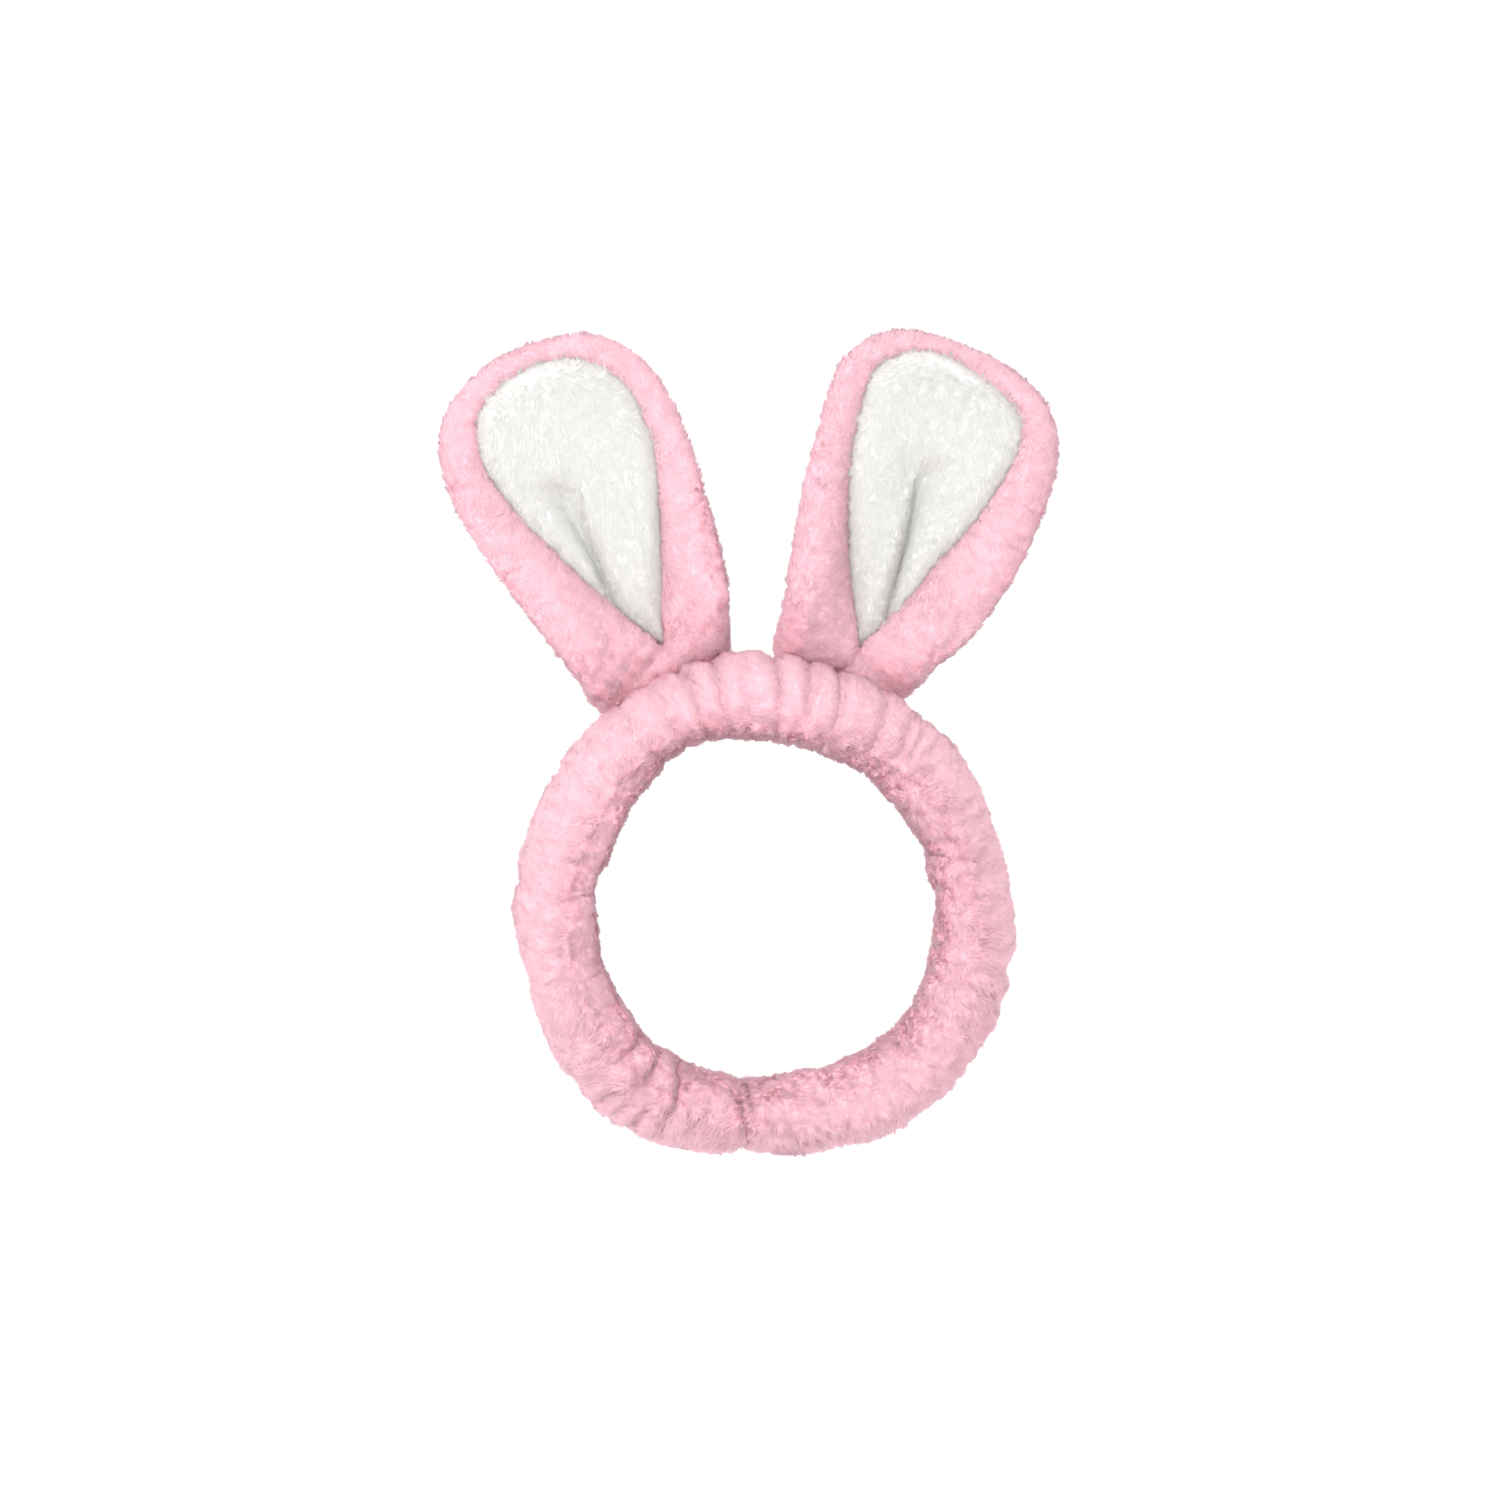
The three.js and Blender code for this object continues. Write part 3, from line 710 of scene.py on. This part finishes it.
def ear_grids(ear):
    rim = by_direction(closed_curve(ear["outline"], 4 * EAR_TURNS, EAR_INSET))
    white = by_direction(closed_curve(ear["white"], 4 * EAR_TURNS, 0.3))

    def out_from_middle(edge, shares):
        return EAR_MIDDLE + (edge - EAR_MIDDLE)[:, None] * shares[None, :, None]

    def place(flat, depth):
        return ear_to_world(ear, flat, ear_curl(flat) + depth)

    # pink sock: under the white panel, over the stuffed border, round the rim and across the back
    under = out_from_middle(white, np.linspace(0, 1, UNDER_RINGS + 1)[:-1])
    turn = np.linspace(0, 1, BORDER_RINGS)
    border = white[:, None] + (rim - white)[:, None] * turn[None, :, None]
    low = 1 - smoothstep(20, 75, border[..., 1])
    beside = np.abs(border[..., 0]) / 30
    peak = 0.5 + 0.12 * low
    roll = np.where(turn < peak, turn / peak, (1 - turn) / (1 - peak))
    roll = np.where(turn < peak, np.sin(roll * math.pi / 2), np.sqrt(np.clip(roll * (2 - roll), 0, 1)))
    height = (3.2 + 5.5 * low * np.clip(beside, 0, 1)) * smoothstep(-9, 4, border[..., 1])
    ridge = np.exp(-((turn - peak) / 0.07) ** 2) * low * smoothstep(8, 18, border[..., 0])
    crease = np.exp(-(line_distance(border, ear["flap_crease"]) / 2.0) ** 2)
    front = -(3.4 * (1 - smoothstep(0, 1, turn)) + height * roll + 1.4 * ridge) + 1.7 * crease
    arc = np.linspace(0, math.pi / 2, BACK_RINGS + 1)[1:]
    back = out_from_middle(rim, np.cos(arc))
    sock = np.concatenate([place(under, -0.8), place(border, front), place(back, 4.2 * np.sin(arc) ** 0.8)], 1)
    rings = np.arange(sock.shape[1])
    hold = np.zeros(sock.shape[:2])
    hold[:, :UNDER_RINGS + 1] = 1
    hold[:, UNDER_RINGS:UNDER_RINGS + BORDER_RINGS] = np.maximum(
        hold[:, UNDER_RINGS:UNDER_RINGS + BORDER_RINGS], np.maximum(0.9 * crease, 0.85 * ridge))
    hold = np.maximum(hold, 0.8 * np.exp(-((rings - UNDER_RINGS - BORDER_RINGS + 1) / 0.8) ** 2))
    hold[:, -3:] = 0.9
    sock = blown_up(sock, hold, 12, 3.0)

    # white panel: a thin pillow with a valley pressed down its middle
    shares = np.sin(np.linspace(0, math.pi / 2, PANEL_RINGS))
    face = out_from_middle(white + unit(white - EAR_MIDDLE) * 0.5, shares)
    spread = 3.0 + 2.4 * smoothstep(35, 75, face[..., 1])
    valley = np.exp(-(line_distance(face, ear["valley"]) / spread) ** 2)
    puff = np.sqrt(np.clip(1 - shares ** 4, 0, 1))
    pressed = 1 - smoothstep(68, 88, face[..., 1])
    rise = 4.0 + 2.4 * puff - 4.6 * valley * pressed * puff
    behind = out_from_middle(white, np.linspace(1, 0, BEHIND_RINGS + 1)[1:])
    panel = np.concatenate([place(face, -rise), place(behind, -1.6)], 1)
    hold = np.zeros(panel.shape[:2])
    hold[:, PANEL_RINGS - 1:] = 1
    hold[:, :PANEL_RINGS] = np.maximum(hold[:, :PANEL_RINGS], 0.75 * valley ** 2 * pressed)
    panel = blown_up(panel, hold, 8, 1.5)
    sock, panel = doubled(sock, 0), doubled(panel, 0)
    return [Grid(points, True, facing(points)) for points in (sock, panel)]


def make_ear(side):
    ear = EARS[side]
    seed = 200 if side == "left" else 300
    sock, panel = ear_grids(ear)
    skin = sock.mesh(f"{side}_ear_pink", pink_under_pile_shaded)
    inner = panel.mesh(f"{side}_ear_white", white_skin)
    outside = np.ones(sock.points.shape[:2])
    outside[:, :UNDER_RINGS + 1] = 0
    front = np.ones(panel.points.shape[:2])
    front[:, PANEL_RINGS:] = 0
    lean = math.radians(ear["lean"])
    down = np.array([-math.sin(lean), 0, -math.cos(lean)])
    outside[:, UNDER_RINGS + BORDER_RINGS:] = 0.8
    pink = grow_pile(sock, seed, 8.0, 2.1, np.broadcast_to(-down, sock.points.shape), weight=outside)
    near_edge = np.linspace(0, 1, PANEL_RINGS) ** 4
    away = unit(panel.points - panel.points[0, 0])
    edge = np.zeros(panel.points.shape[:2])
    edge[:, :PANEL_RINGS] = near_edge
    comb = down * (1 - edge[..., None]) + away * edge[..., None] * 2
    white = grow_pile(panel, seed + 50, 9.0, 2.4 + 1.6 * edge, comb, lean=2.8, wildness=0.06 + 0.14 * edge,
                      clump=0.05, weight=front, ripple=0.3, evenness=0.93 * (1 - 0.7 * edge))
    pink = pile_pieces(f"{side}_ear_pink_pile", pink, pink_pile)
    white = pile_pieces(f"{side}_ear_white_pile", white, white_pile)
    for piece in [skin, inner, *pink, *white]:
        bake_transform(piece)
    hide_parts(f"{side}_ear_back_panel", f"{side}_ear_front_border", f"{side}_ear_wadding",
                f"{side}_ear_rim_seam", f"{side}_ear_fold_tack")
    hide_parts(f"{side}_ear_inner_panel", f"{side}_ear_inner_seam")


for side in EARS:
    make_ear(side)
    stitching = bpy.data.objects[f"{side}_ear_anchor_stitching"]
    stitching.data.materials.clear()
    stitching.data.materials.append(pink_thread)
